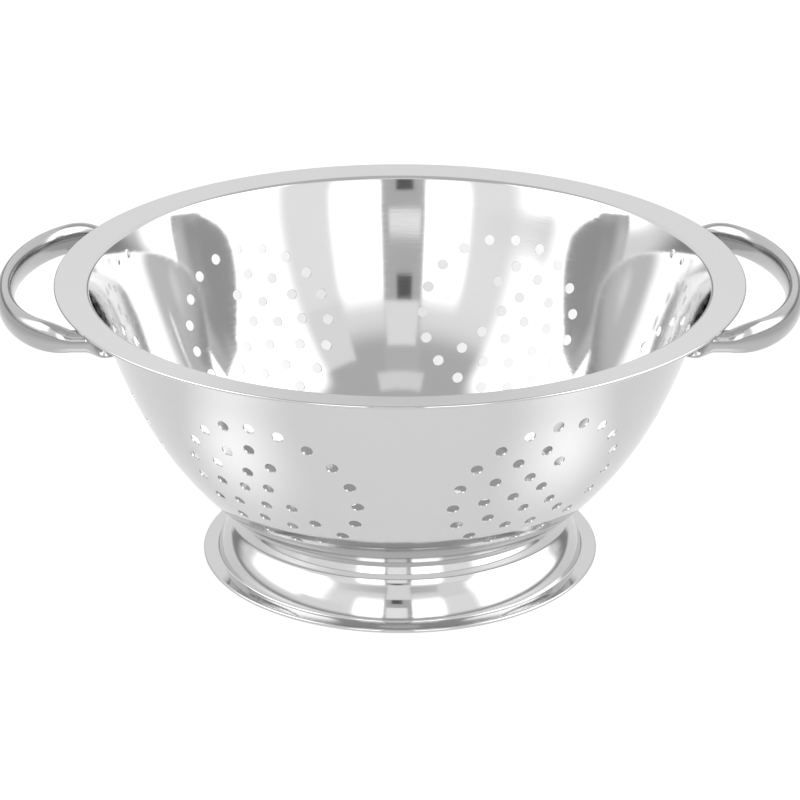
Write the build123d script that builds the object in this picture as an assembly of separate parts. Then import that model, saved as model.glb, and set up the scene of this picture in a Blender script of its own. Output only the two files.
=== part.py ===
from build123d import *
import os
from math import atan, atan2, cos, degrees, hypot, pi, radians, sin, sqrt

# A stainless steel colander: a punched bowl with a flanged rim, a drawn pedestal foot
# and two loop handles of oval tube, all joined by spot welds.
# Millimetres, +Z up. The origin is on the floor under the middle of the bowl, and the
# handles reach out along X.

# Overall sizes
rim_radius = 140.0
bowl_depth = 98.75
sheet = 0.6

# Bowl: the wall's radius, a share of the rim's, is a cubic of its height, a share of the
# bowl's depth. Near the top it flares out a little more.
wall_shares = (0.5126, 0.7805, -0.6374, 0.2512)
flare_start_share = 0.802
flare_share = 0.84
wall_stations = 11
corner_radius = 6.0
lip_radius = 1.6
flange_width = 12.4
flange_rise = 1.4
rim_hem_height = 1.5
rim_hem_return = 3.0

# Drain holes: rings of 6, 12 and 18 round a middle hole, punched square to the wall
hole_diameter = 4.6
ring_pitch = 11.8
side_ring_angles = (8.0, 8.0, 11.4)
base_ring_angles = (0.0, 0.0, 10.0)
upright_share = 0.945
group_rise = 43.15
group_azimuths = (0.1, 64.7, 127.7, 184.7, 241.5, 300.9)
left_out_holes = ((1, 0), (2, 0), (2, 1), (2, 2), (2, 11))
raised_holes = {(0, 0): 1.6, (1, 1): 4.2}
punch_reach = 13.0
seam_azimuth = 32.0

# Spot welds: a thin gap stays between the welded sheets, bridged by the nuggets
weld_gap = 0.3
handle_nugget_diameter = 4.0
foot_nugget_diameter = 5.0
foot_nugget_count = 6
electrode_radius = 5.0
electrode_depth = 0.15

# Foot: a steep neck that sweeps out into a domed skirt, which ends in a hemmed flange
neck_radius = 69.2
foot_sheet = 0.6
neck_height = 7.15
neck_lean = 1.9
neck_top_bend = 1.4
neck_foot_bend = 8.0
bead_share = 0.45
bead_lean_share = 0.2
bead_bend = 4.0
weld_flange_width = 11.0
skirt_height = 16.0
skirt_reach = 13.45
shoulder_reach = 5.57
shoulder_drop = 7.85
shoulder_bend = 29.0
foot_flange_width = 6.3
skirt_foot_bend = 0.8
foot_hem_height = 1.6
foot_hem_return = 3.2

# Handles: oval tube, flattened at both ends into pads that lie on the wall
handle_stand_off = 23.4
handle_half_spread = 60.0
bow_inset = 12.1
tube_height = 12.8
tube_thickness = 7.2
tube_wall = 0.8
handle_drop = 5.4
leg_height = 9.0
under_rim_gap = 0.4
pad_height = 8.6
pad_drop = 8.8
pad_length = 25.5
pad_bend_radius = 3.2
weld_distances = (10.4, 20.4)
opening_pace = 1.8
rise_length = 16.0
bow_stations = 21
leg_stations = 6


# Places that follow from the sizes
half_turn = 180
foot_height = skirt_height + neck_height
foot_radius = neck_radius + skirt_reach
neck_top_radius = neck_radius - neck_lean
bowl_base = foot_height + weld_gap
rim_height = bowl_base + bowl_depth
pad_level = rim_height - pad_drop
handle_height = rim_height - handle_drop
handle_reach = rim_radius + handle_stand_off
bow_start = rim_radius - bow_inset


def wall_radius(share):
    """Radius of the bowl's outer skin at a share of the bowl's depth."""
    a, b, c, d = wall_shares
    flare = flare_share * max(share - flare_start_share, 0) ** 3
    return rim_radius * (a + b * share + c * share**2 + d * share**3 + flare)


def wall_direction(share):
    """Unit direction up the wall, as (radial, height)."""
    b, c, d = wall_shares[1:]
    flare = 3 * flare_share * max(share - flare_start_share, 0) ** 2
    run = rim_radius * (b + 2 * c * share + 3 * d * share**2 + flare)
    length = hypot(run, bowl_depth)
    return run / length, bowl_depth / length


def wall_share(height):
    """Share of the bowl's depth at a height above the floor."""
    return (height - bowl_base) / bowl_depth


def wall_point(share, depth):
    """Point of the wall at a depth into the sheet from its outer skin."""
    run, rise = wall_direction(share)
    height = bowl_base + share * bowl_depth
    return wall_radius(share) - depth * rise, height + depth * run


def on_section(radial, height):
    return Vector(radial, 0, height)


def bend(centre, radius, start, end):
    """Arc of the section round a centre, between two angles in degrees."""
    def at(angle):
        along = radians(angle)
        return on_section(centre[0] + radius * cos(along), centre[1] + radius * sin(along))
    return ThreePointArc(at(start), at((start + end) / 2), at(end))


flange_angle = degrees(atan(flange_rise / flange_width))
flange_run = cos(radians(flange_angle)), sin(radians(flange_angle))
flange_up = -flange_run[1], flange_run[0]
rim_hem_radius = rim_hem_height / 2
rim_hem_centre = rim_radius - rim_hem_radius, rim_height - rim_hem_radius


def hem_point(inward, up):
    """Point by the rim's hem: so far in along the flange, so far up square to it."""
    return (
        rim_hem_centre[0] - inward * flange_run[0] + up * flange_up[0],
        rim_hem_centre[1] - inward * flange_run[1] + up * flange_up[1],
    )


def lip_centre(share):
    """Centre of the bend between the wall, ended at this share, and the flange."""
    run, rise = wall_direction(share)
    radial, height = wall_point(share, 0)
    return radial + lip_radius * rise, height - lip_radius * run


def lip_miss(share):
    """How far the bend's top lies above the flange's underside."""
    centre = lip_centre(share)
    under = hem_point(0, rim_hem_radius - sheet)
    across = (centre[0] - under[0]) * flange_up[0] + (centre[1] - under[1]) * flange_up[1]
    return across + lip_radius


def corner_miss(share):
    """How far a corner that meets the wall at this share ends above the bowl's bottom."""
    return wall_point(share, corner_radius)[1] - corner_radius - bowl_base


def solve(miss, low, high):
    """Share between two limits at which a rising miss crosses zero."""
    for _ in range(50):
        middle = (low + high) / 2
        if miss(middle) < 0:
            low = middle
        else:
            high = middle
    return low


wall_start_share = solve(corner_miss, 0.0, 0.5)
wall_end_share = solve(lip_miss, 0.5, 1.0)
base_direction = wall_direction(wall_start_share)
base_angle = degrees(atan2(base_direction[1], base_direction[0]))
corner_centre = wall_point(wall_start_share, corner_radius)


def bowl_skin(depth):
    """Edges of one skin of the bowl, from the axis to the rim's hem."""
    shares = [
        wall_start_share + (wall_end_share - wall_start_share) * k / (wall_stations - 1)
        for k in range(wall_stations)
    ]
    points = [on_section(*wall_point(share, depth)) for share in shares]
    ends = [on_section(*wall_direction(share)) for share in (shares[0], shares[-1])]
    top_direction = wall_direction(wall_end_share)
    top_angle = degrees(atan2(top_direction[1], top_direction[0]))
    lip = lip_centre(wall_end_share)
    floor_corner = on_section(corner_centre[0], bowl_base + depth)
    corner = bend(corner_centre, corner_radius - depth, -90, base_angle - 90)
    wall = Spline(*points, tangents=ends)
    turn = bend(lip, lip_radius + depth, 90 + top_angle, 90 + flange_angle)
    flange = Line(turn @ 1, on_section(*hem_point(0, rim_hem_radius - sheet + depth)))
    return [Line(on_section(0, bowl_base + depth), floor_corner), corner, wall, turn, flange]


def make_bowl_blank():
    outer = bowl_skin(0)
    inner = bowl_skin(sheet)
    top = 90 + flange_angle
    inside = bend(rim_hem_centre, rim_hem_radius - sheet, top, top - half_turn)
    outside = bend(rim_hem_centre, rim_hem_radius, top, top - half_turn)
    fold_end = on_section(*hem_point(rim_hem_return, sheet - rim_hem_radius))
    fold_edge = on_section(*hem_point(rim_hem_return, -rim_hem_radius))
    hem = [
        inside,
        Line(inside @ 1, fold_end),
        Line(fold_end, fold_edge),
        Line(fold_edge, outside @ 1),
        outside,
    ]
    axis = Line(outer[0] @ 0, inner[0] @ 0)
    outline = Wire(outer + hem + inner + [axis])
    return Rot(0, 0, seam_azimuth) * revolve(Face(outline), Axis.Z, 360)


def rosette(first_angles, skipped, raised):
    """Places of the holes of one group, across and up, with its middle at zero."""
    places = [(0.0, raised.get((0, 0), 0.0))]
    for ring, first_angle in enumerate(first_angles, start=1):
        count = 6 * ring
        for k in range(count):
            if (ring, k) in skipped:
                continue
            angle = radians(first_angle + 360 * k / count)
            across = ring * ring_pitch * cos(angle)
            up = ring * ring_pitch * sin(angle) + raised.get((ring, k), 0.0)
            places.append((across, up))
    return places


def round_wall(azimuth, radial, height):
    return Vector(radial * cos(radians(azimuth)), radial * sin(radians(azimuth)), height)


def side_punches():
    height = bowl_base + group_rise
    share = wall_share(height)
    run, rise = wall_direction(share)
    places = rosette(side_ring_angles, left_out_holes, raised_holes)
    punches = []
    for azimuth in group_azimuths:
        middle = round_wall(azimuth, wall_radius(share), height)
        outward = round_wall(azimuth, rise, -run)
        sideways = round_wall(azimuth + 90, 1, 0)
        face = Plane(origin=middle, x_dir=sideways, z_dir=outward)
        for across, up in places:
            spot = Pos(across, up * upright_share, 0)
            punches.append(face * spot * Cylinder(hole_diameter / 2, 2 * punch_reach))
    return punches


def base_punches():
    places = rosette(base_ring_angles, (), {})
    return [
        Pos(across, up, bowl_base) * Cylinder(hole_diameter / 2, 2 * punch_reach)
        for across, up in places
    ]


pad_share = wall_share(pad_level)
pad_radius = wall_radius(pad_share) + (weld_gap + tube_wall) / wall_direction(pad_share)[1]
pad_lean = atan2(*wall_direction(pad_share))
bend_middle_radius = pad_radius + pad_bend_radius
bend_sine = (handle_half_spread - pad_bend_radius) / bend_middle_radius
bend_azimuth = degrees(atan2(bend_sine, sqrt(1 - bend_sine**2)))
bend_middle = round_wall(bend_azimuth, bend_middle_radius, 0)


def pad_azimuth(distance):
    """Azimuth on a pad at a distance from its bend, along the wall."""
    return bend_azimuth - degrees(distance / pad_radius)


def weld_planes():
    """Plane of each handle weld, on the wall's outer skin and facing outward."""
    run, rise = wall_direction(pad_share)
    planes = []
    for axis_azimuth in (0, half_turn):
        for side in (-1, 1):
            for distance in weld_distances:
                azimuth = axis_azimuth + side * pad_azimuth(distance)
                spot = round_wall(azimuth, wall_radius(pad_share), pad_level)
                outward = round_wall(azimuth, rise, -run)
                sideways = round_wall(azimuth + 90, 1, 0)
                planes.append(Plane(origin=spot, x_dir=sideways, z_dir=outward))
    return planes


def electrode_marks():
    """Shallow dents that the welding tip leaves on the bowl's inner skin."""
    back = sheet + electrode_radius - electrode_depth
    return [plane * Pos(0, 0, -back) * Sphere(electrode_radius) for plane in weld_planes()]


def make_bowl(blank):
    return blank - side_punches() - base_punches() - electrode_marks()


def mitred(corners, depth):
    """Corners of a path moved sideways by a depth, to the right of its run."""
    directions = []
    for here, there in zip(corners, corners[1:]):
        length = hypot(there[0] - here[0], there[1] - here[1])
        directions.append(((there[0] - here[0]) / length, (there[1] - here[1]) / length))
    moved = []
    for k, corner in enumerate(corners):
        before = directions[max(k - 1, 0)]
        after = directions[min(k, len(directions) - 1)]
        normal = before[1] + after[1], -before[0] - after[0]
        size = (normal[0] ** 2 + normal[1] ** 2) / 2
        moved.append((corner[0] + depth * normal[0] / size, corner[1] + depth * normal[1] / size))
    return moved


def bent_skin(corners, radii, depth):
    """The path with rounded corners, moved right by a depth; turns to the right tighten."""
    moved = mitred(corners, depth)
    eased = []
    for k, radius in enumerate(radii, start=1):
        ahead = corners[k + 1][0] - corners[k][0], corners[k + 1][1] - corners[k][1]
        behind = corners[k][0] - corners[k - 1][0], corners[k][1] - corners[k - 1][1]
        left_turn = behind[0] * ahead[1] - behind[1] * ahead[0] > 0
        eased.append(radius + depth if left_turn else radius - depth)
    return FilletPolyline(*[on_section(*point) for point in moved], radius=eased)


def make_foot():
    """The drawn foot: a weld flange, a steep neck, the domed skirt and a hemmed flange."""
    hem_bend = 0.48 * foot_hem_height
    corners = [
        (neck_top_radius - weld_flange_width, foot_height),
        (neck_top_radius, foot_height),
        (neck_radius - neck_lean * bead_lean_share, skirt_height + neck_height * bead_share),
        (neck_radius, skirt_height),
        (neck_radius + shoulder_reach, skirt_height - shoulder_drop),
        (foot_radius - foot_flange_width, foot_hem_height),
        (foot_radius, foot_hem_height),
        (foot_radius, 0),
        (foot_radius - foot_hem_return, 0),
    ]
    radii = [
        neck_top_bend + foot_sheet,
        bead_bend,
        neck_foot_bend,
        shoulder_bend,
        skirt_foot_bend,
        hem_bend,
        hem_bend,
    ]
    outer = bent_skin(corners, radii, 0)
    inner = bent_skin(corners, radii, foot_sheet)
    start = Line(outer @ 0, inner @ 0)
    end = Line(outer @ 1, inner @ 1)
    outline = Wire(outer.edges() + inner.edges() + [start, end])
    return Rot(0, 0, seam_azimuth) * revolve(Face(outline), Axis.Z, 360)


def foot_nuggets():
    middle = neck_top_radius - (weld_flange_width + neck_top_bend) / 2
    nuggets = []
    for k in range(foot_nugget_count):
        spot = round_wall(360 * k / foot_nugget_count, middle, bowl_base - weld_gap / 2)
        nuggets.append(Pos(spot) * Cylinder(foot_nugget_diameter / 2, weld_gap))
    return nuggets


def smooth(value):
    """Eased step from 0 to 1."""
    clipped = min(max(value, 0.0), 1.0)
    return clipped**2 * (3 - 2 * clipped)


leg_level = rim_height - rim_hem_height - under_rim_gap - leg_height / 2


def tube_section(place, heading, size, lean, inset):
    """Oval of one tube station; its tall axis leans to the right of the heading."""
    side = heading.cross(Vector(0, 0, 1)).normalized()
    thin = side * cos(lean) - Vector(0, 0, 1) * sin(lean)
    plane = Plane(origin=place, x_dir=thin, z_dir=heading)
    return plane * Ellipse(size[1] / 2 - inset, size[0] / 2 - inset)


def make_pad():
    """Flattened end: it follows the wall, then bends out to meet the leg."""
    flat = pad_height, 2 * tube_wall
    place = round_wall(bend_azimuth, pad_radius, pad_level)
    heading = round_wall(bend_azimuth + 90, 1, 0)
    section = tube_section(place, heading, flat, pad_lean, 0)
    along_wall = revolve(section, Axis.Z, pad_azimuth(pad_length) - bend_azimuth)
    bend_axis = Axis((bend_middle.X, bend_middle.Y, 0), (0, 0, 1))
    return along_wall + revolve(section, bend_axis, -90 - bend_azimuth)


def leg_sections(inset):
    """The straight leg, from the oval tube down to the flat end."""
    sections = []
    for k in reversed(range(leg_stations)):
        share = k / (leg_stations - 1)
        opened = smooth(opening_pace * share)
        thick = 2 * tube_wall + (tube_thickness - 2 * tube_wall) * opened
        if thick / 2 - inset < inset / 2:
            continue
        high = pad_height + (leg_height - pad_height) * opened
        level = pad_level + (leg_level - pad_level) * opened
        place = Vector(
            bend_middle.X + (bow_start - bend_middle.X) * share, handle_half_spread, level
        )
        lean = pad_lean * (1 - opened)
        sections.append(tube_section(place, Vector(1, 0, 0), (high, thick), lean, inset))
    return sections


def bow_sections(inset):
    """The bow: half an ellipse in plan that rises a little past the rim."""
    bow_depth = handle_reach - tube_thickness / 2 - bow_start
    sections = []
    for k in range(bow_stations):
        angle = pi / 2 - pi * k / (bow_stations - 1)
        out = bow_depth * cos(angle)
        risen = smooth(out / rise_length)
        place = Vector(
            bow_start + out,
            handle_half_spread * sin(angle),
            leg_level + (handle_height - leg_level) * risen,
        )
        heading = Vector(bow_depth * sin(angle), -handle_half_spread * cos(angle), 0)
        size = leg_height + (tube_height - leg_height) * risen, tube_thickness
        sections.append(tube_section(place, heading.normalized(), size, 0.0, inset))
    return sections


def make_handle():
    leg = loft(leg_sections(0)) + make_pad()
    bore = loft(leg_sections(tube_wall))
    tube = loft(bow_sections(0)) + leg + leg.mirror(Plane.XZ)
    return tube - (loft(bow_sections(tube_wall)) + bore + bore.mirror(Plane.XZ))


def handle_nuggets(blank, handles):
    """Weld metal between each pad and the wall, shaped by the two faces it joins."""
    reach = weld_gap + tube_wall
    nuggets = []
    for plane in weld_planes():
        slug = plane * Pos(0, 0, weld_gap / 2) * Cylinder(handle_nugget_diameter / 2, reach)
        left = slug - blank - handles
        nearest = plane.origin + plane.z_dir * (weld_gap / 2)
        solids = sorted(left.solids(), key=lambda solid: (solid.center() - nearest).length)
        nuggets.append(solids[0])
    return nuggets


blank = make_bowl_blank()
handle_right = make_handle()
handle_left = Rot(0, 0, half_turn) * handle_right

pieces = {
    "bowl": make_bowl(blank),
    "foot_ring": make_foot(),
    "handle_left": handle_left,
    "handle_right": handle_right,
    "handle_spot_welds": Compound(handle_nuggets(blank, [handle_left, handle_right])),
    "foot_spot_welds": Compound([nugget.solid() for nugget in foot_nuggets()]),
}

os.makedirs("parts", exist_ok=True)
for name, piece in pieces.items():
    export_step(piece, f"parts/{name}.step")
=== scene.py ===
import math

import bpy
import numpy as np
from mathutils.geometry import delaunay_2d_cdt
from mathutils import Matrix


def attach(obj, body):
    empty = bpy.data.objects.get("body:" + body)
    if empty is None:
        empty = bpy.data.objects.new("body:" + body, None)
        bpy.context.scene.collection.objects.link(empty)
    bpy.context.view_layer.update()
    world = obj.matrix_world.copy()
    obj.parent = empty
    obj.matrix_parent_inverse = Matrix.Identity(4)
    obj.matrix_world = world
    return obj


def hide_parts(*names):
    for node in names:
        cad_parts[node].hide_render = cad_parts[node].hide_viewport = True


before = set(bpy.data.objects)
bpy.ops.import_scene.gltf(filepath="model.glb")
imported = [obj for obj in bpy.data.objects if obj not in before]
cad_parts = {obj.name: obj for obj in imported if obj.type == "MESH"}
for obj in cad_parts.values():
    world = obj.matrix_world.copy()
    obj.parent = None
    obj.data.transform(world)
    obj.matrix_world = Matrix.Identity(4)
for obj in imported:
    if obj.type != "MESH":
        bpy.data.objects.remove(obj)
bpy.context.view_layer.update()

# The colander's sizes in millimetres. They repeat the CAD model's, because the mirror finish
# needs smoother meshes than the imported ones. The surfaces are the same, except that the
# handles' tubes rise faster from their legs, the holes' edges are rolled and the weld dents
# run out softly.
METRES_PER_MM = 0.001
HALF_TURN = 180

# Bowl
RIM_RADIUS = 140.0
BOWL_DEPTH = 98.75
BOWL_BASE = 23.45
SHEET = 0.6
WALL_SHARES = (0.5126, 0.7805, -0.6374, 0.2512)
FLARE_START_SHARE = 0.802
FLARE_SHARE = 0.84
CORNER_RADIUS = 6.0
LIP_RADIUS = 1.6
FLANGE_WIDTH = 12.4
FLANGE_RISE = 1.4
RIM_HEM_HEIGHT = 1.5
RIM_HEM_RETURN = 3.0
HOLE_RADIUS = 2.3
RING_PITCH = 11.8
SIDE_RING_ANGLES = (8.0, 8.0, 11.4)
BASE_RING_ANGLES = (0.0, 0.0, 10.0)
UPRIGHT_SHARE = 0.945
GROUP_RISE = 43.15
GROUP_AZIMUTHS = (0.1, 64.7, 127.7, 184.7, 241.5, 300.9)
LEFT_OUT_HOLES = ((1, 0), (2, 0), (2, 1), (2, 2), (2, 11))
RAISED_HOLES = {(0, 0): 1.6, (1, 1): 4.2}
SEAM_AZIMUTH = 32.0
RIM_HEIGHT = BOWL_BASE + BOWL_DEPTH

# Foot
NECK_RADIUS = 69.2
FOOT_SHEET = 0.6
NECK_HEIGHT = 7.15
NECK_LEAN = 1.9
NECK_TOP_BEND = 1.4
NECK_FOOT_BEND = 8.0
BEAD_SHARE = 0.45
BEAD_LEAN_SHARE = 0.2
BEAD_BEND = 4.0
WELD_FLANGE_WIDTH = 11.0
SKIRT_HEIGHT = 16.0
SKIRT_REACH = 13.45
SHOULDER_REACH = 5.57
SHOULDER_DROP = 7.85
SHOULDER_BEND = 29.0
FOOT_FLANGE_WIDTH = 6.3
SKIRT_FOOT_BEND = 0.8
FOOT_HEM_HEIGHT = 1.6
FOOT_HEM_RETURN = 3.2
FOOT_HEM_BEND_SHARE = 0.48
FOOT_HEIGHT = SKIRT_HEIGHT + NECK_HEIGHT
FOOT_RADIUS = NECK_RADIUS + SKIRT_REACH
NECK_TOP_RADIUS = NECK_RADIUS - NECK_LEAN

# Handles
WELD_GAP = 0.3
HANDLE_STAND_OFF = 23.4
HANDLE_HALF_SPREAD = 60.0
BOW_INSET = 12.1
TUBE_HEIGHT = 12.8
TUBE_THICKNESS = 7.2
TUBE_WALL = 0.8
HANDLE_DROP = 5.4
LEG_HEIGHT = 9.0
UNDER_RIM_GAP = 0.4
PAD_HEIGHT = 8.6
PAD_DROP = 8.8
PAD_LENGTH = 25.5
PAD_BEND_RADIUS = 3.2
WELD_DISTANCES = (10.4, 20.4)
OPENING_PACE = 1.8
RISE_LENGTH = 12.0

# How the bowl's sheets are meshed
TURN_COLUMNS = 360
WALL_PATCH_SHARES = (0.05, 0.94)
WALL_PATCH_ROWS = 46
BASE_PATCH_RADIUS = 48.0
BASE_PATCH_STEP = 3.0
HOLE_SIDES = 22
UNROLL_RADIUS = 100.0
HOLE_MARGIN = 0.9
HOLE_REACH = 25.0
FOLD_BEVEL = 0.05

# Rows of the bowl's section in its straight stretches and round its bends
STRAIGHT_ROWS = 4
SHORT_ROWS = 3
CORNER_ROWS = 8
LIP_ROWS = 9
HEM_INNER_ROWS = 7
HEM_OUTER_ROWS = 17

# How finely the wall's curve is searched: halvings, samples and reach of a slide
SOLVE_STEPS = 50
SLIDE_STEPS = 44
SLIDE_REACH = 12.0
TABLE_SAMPLES = 4000

# The dent that the welding tip leaves on the bowl's inner skin
DENT_RADIUS = 2.1
DENT_DEPTH = 0.15
DENT_RINGS = 6
DENT_SIDES = 20

# Steps round the foot's bends: greatest turn in degrees and greatest length
ARC_TURN = 9
ARC_STEP = 0.6

# How the handles are meshed
HANDLE_SIDES = 56
PAD_SQUARENESS = 5.0
OVAL_SQUARENESS = 2
PAD_STATIONS = 16
BEND_STATIONS = 18
LEG_STATIONS = 16
BOW_STATIONS = 60
END_CAP_SHARE = 0.86

# Each hole's rolled edge: how far out from the hole, and how deep below the skin
OUTER_EDGE = 0.25
INNER_EDGE = 0.10
ROLL_STEPS = ((0.09, 0.03, 0.45), (0.0, 0.16, 1.0))


# Section of the bowl

def wall_radius(share):
    """Radius of the bowl's outer skin at a share of the bowl's depth."""
    a, b, c, d = WALL_SHARES
    flare = FLARE_SHARE * np.maximum(share - FLARE_START_SHARE, 0) ** 3
    return RIM_RADIUS * (a + b * share + c * share**2 + d * share**3 + flare)


def wall_direction(share):
    """Unit direction up the wall, as (radial, height)."""
    b, c, d = WALL_SHARES[1:]
    flare = 3 * FLARE_SHARE * np.maximum(share - FLARE_START_SHARE, 0) ** 2
    run = RIM_RADIUS * (b + 2 * c * share + 3 * d * share**2 + flare)
    length = np.hypot(run, BOWL_DEPTH)
    return run / length, BOWL_DEPTH / length


def wall_point(share, depth):
    """Point of the wall at a depth into the sheet from its outer skin."""
    run, rise = wall_direction(share)
    height = BOWL_BASE + share * BOWL_DEPTH
    return wall_radius(share) - depth * rise, height + depth * run


FLANGE_ANGLE = math.atan(FLANGE_RISE / FLANGE_WIDTH)
FLANGE_RUN = math.cos(FLANGE_ANGLE), math.sin(FLANGE_ANGLE)
FLANGE_UP = -FLANGE_RUN[1], FLANGE_RUN[0]
RIM_HEM_RADIUS = RIM_HEM_HEIGHT / 2
RIM_HEM_CENTRE = RIM_RADIUS - RIM_HEM_RADIUS, RIM_HEIGHT - RIM_HEM_RADIUS


def hem_point(inward, up):
    """Point by the rim's hem: so far in along the flange, so far up square to it."""
    return (
        RIM_HEM_CENTRE[0] - inward * FLANGE_RUN[0] + up * FLANGE_UP[0],
        RIM_HEM_CENTRE[1] - inward * FLANGE_RUN[1] + up * FLANGE_UP[1],
    )


def lip_centre(share):
    run, rise = wall_direction(share)
    radial, height = wall_point(share, 0)
    return radial + LIP_RADIUS * rise, height - LIP_RADIUS * run


def lip_miss(share):
    """How far the bend's top lies above the flange's underside."""
    centre = lip_centre(share)
    under = hem_point(0, RIM_HEM_RADIUS - SHEET)
    across = (centre[0] - under[0]) * FLANGE_UP[0] + (centre[1] - under[1]) * FLANGE_UP[1]
    return across + LIP_RADIUS


def corner_miss(share):
    """How far a corner that meets the wall at this share ends above the bowl's bottom."""
    return wall_point(share, CORNER_RADIUS)[1] - CORNER_RADIUS - BOWL_BASE


def solve(miss, low, high):
    """Share between two limits at which a rising miss crosses zero."""
    for _ in range(SOLVE_STEPS):
        middle = (low + high) / 2
        if miss(middle) < 0:
            low = middle
        else:
            high = middle
    return low


WALL_START = solve(corner_miss, 0.0, 0.5)
WALL_END = solve(lip_miss, 0.5, 1.0)
CORNER_CENTRE = wall_point(WALL_START, CORNER_RADIUS)


def arc_rows(centre, radius, start, end, count, side):
    """Section rows (radius, height, normal) along an arc, angles in degrees."""
    angles = np.radians(np.linspace(start, end, count))
    across, up = np.cos(angles), np.sin(angles)
    points = centre[0] + radius * across, centre[1] + radius * up
    return np.stack([*points, side * across, side * up], axis=1)


def line_rows(start, end, count, normal):
    radial = np.linspace(start[0], end[0], count)
    height = np.linspace(start[1], end[1], count)
    return np.stack([radial, height, radial * 0 + normal[0], radial * 0 + normal[1]], axis=1)


def wall_rows(shares, depth, side):
    run, rise = wall_direction(shares)
    radial, height = wall_point(shares, depth)
    return np.stack([radial, height, side * rise, -side * run], axis=1)


def skin_rows(depth, side):
    """Rows of one skin below, in and above the stretch of wall that holds the holes."""
    base_run, base_rise = wall_direction(WALL_START)
    base_angle = math.degrees(math.atan2(base_rise, base_run))
    top_run, top_rise = wall_direction(WALL_END)
    top_angle = math.degrees(math.atan2(top_rise, top_run))
    flange_degrees = math.degrees(FLANGE_ANGLE)
    low, high = WALL_PATCH_SHARES
    floor_height = BOWL_BASE + depth
    lip = lip_centre(WALL_END)
    start = BASE_PATCH_RADIUS, floor_height
    below = [
        line_rows(start, (CORNER_CENTRE[0], floor_height), STRAIGHT_ROWS, (0, -side)),
        arc_rows(
            CORNER_CENTRE, CORNER_RADIUS - depth, -90, base_angle - 90, CORNER_ROWS, side
        )[1:],
        wall_rows(np.linspace(WALL_START, low, STRAIGHT_ROWS), depth, side)[1:],
    ]
    inside = wall_rows(np.linspace(low, high, WALL_PATCH_ROWS), depth, side)
    bend = arc_rows(
        lip, LIP_RADIUS + depth, 90 + top_angle, 90 + flange_degrees, LIP_ROWS, -side
    )
    flange_end = hem_point(0, RIM_HEM_RADIUS - SHEET + depth)
    above = [
        wall_rows(np.linspace(high, WALL_END, SHORT_ROWS), depth, side),
        bend[1:],
        line_rows(bend[-1], flange_end, STRAIGHT_ROWS, bend[-1][2:])[1:],
    ]
    return np.concatenate(below), inside, np.concatenate(above)


def hem_rows():
    """Rows of the rim's hem, from the flange's underside round to its top."""
    top = 90 + math.degrees(FLANGE_ANGLE)
    up = np.array(FLANGE_UP)
    inward = -np.array(FLANGE_RUN)
    inside = arc_rows(
        RIM_HEM_CENTRE, RIM_HEM_RADIUS - SHEET, top, top - HALF_TURN, HEM_INNER_ROWS, -1
    )
    outside = arc_rows(
        RIM_HEM_CENTRE, RIM_HEM_RADIUS, top - HALF_TURN, top, HEM_OUTER_ROWS, 1
    )
    edge = RIM_HEM_RETURN + FOLD_BEVEL
    fold_top = hem_point(RIM_HEM_RETURN, SHEET - RIM_HEM_RADIUS)
    fold_bottom = hem_point(RIM_HEM_RETURN, -RIM_HEM_RADIUS)
    edge_top = hem_point(edge, SHEET - RIM_HEM_RADIUS - FOLD_BEVEL)
    edge_bottom = hem_point(edge, FOLD_BEVEL - RIM_HEM_RADIUS)
    return np.concatenate([
        inside[1:],
        line_rows(inside[-1], fold_top, SHORT_ROWS, up)[1:],
        line_rows(edge_top, edge_bottom, 2, inward),
        line_rows(fold_bottom, outside[0], SHORT_ROWS, -up),
        outside[1:-1],
    ])


# Meshes, kept as lists of points, normals and faces

class Sheet:
    """A mesh in the making, with its own normal at each point."""

    def __init__(self):
        self.points = []
        self.normals = []
        self.faces = []
        self.count = 0

    def add(self, points, normals):
        """Adds points and returns their numbers."""
        start = self.count
        self.points.append(np.asarray(points, float).reshape(-1, 3))
        self.normals.append(np.asarray(normals, float).reshape(-1, 3))
        self.count += len(self.points[-1])
        return np.arange(start, self.count)

    def strip(self, first, second, closed=True):
        """Quads between two rows of points that run the same way."""
        steps = len(first) if closed else len(first) - 1
        for j in range(steps):
            k = (j + 1) % len(first)
            self.faces.append((first[j], first[k], second[k], second[j]))

    def object(self, name):
        points = np.concatenate(self.points) * METRES_PER_MM
        normals = np.concatenate(self.normals)
        normals /= np.linalg.norm(normals, axis=1, keepdims=True)
        mesh = bpy.data.meshes.new(name)
        mesh.from_pydata(points.tolist(), [], [list(map(int, face)) for face in self.faces])
        mesh.validate()
        mesh.shade_smooth()
        mesh.normals_split_custom_set_from_vertices(normals.tolist())
        thing = bpy.data.objects.new(name, mesh)
        bpy.context.scene.collection.objects.link(thing)
        return thing


def turned(row, azimuths):
    """Points and normals of one section row turned round the axis."""
    radial, height, across, up = row[:4]
    cosines, sines = np.cos(azimuths), np.sin(azimuths)
    points = np.stack([radial * cosines, radial * sines, cosines * 0 + height], axis=1)
    normals = np.stack([across * cosines, across * sines, cosines * 0 + up], axis=1)
    return points, normals


def turn_azimuths():
    steps = np.arange(TURN_COLUMNS) / TURN_COLUMNS
    return math.radians(SEAM_AZIMUTH) + 2 * math.pi * steps


def add_turned(sheet, rows, first=None):
    """Turns section rows into rings joined by quads, from a first ring if given."""
    azimuths = turn_azimuths()
    rings = [] if first is None else [first]
    for row in rows:
        rings.append(sheet.add(*turned(row, azimuths)))
    for here, there in zip(rings, rings[1:]):
        sheet.strip(here, there)
    return rings


# Holes

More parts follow.
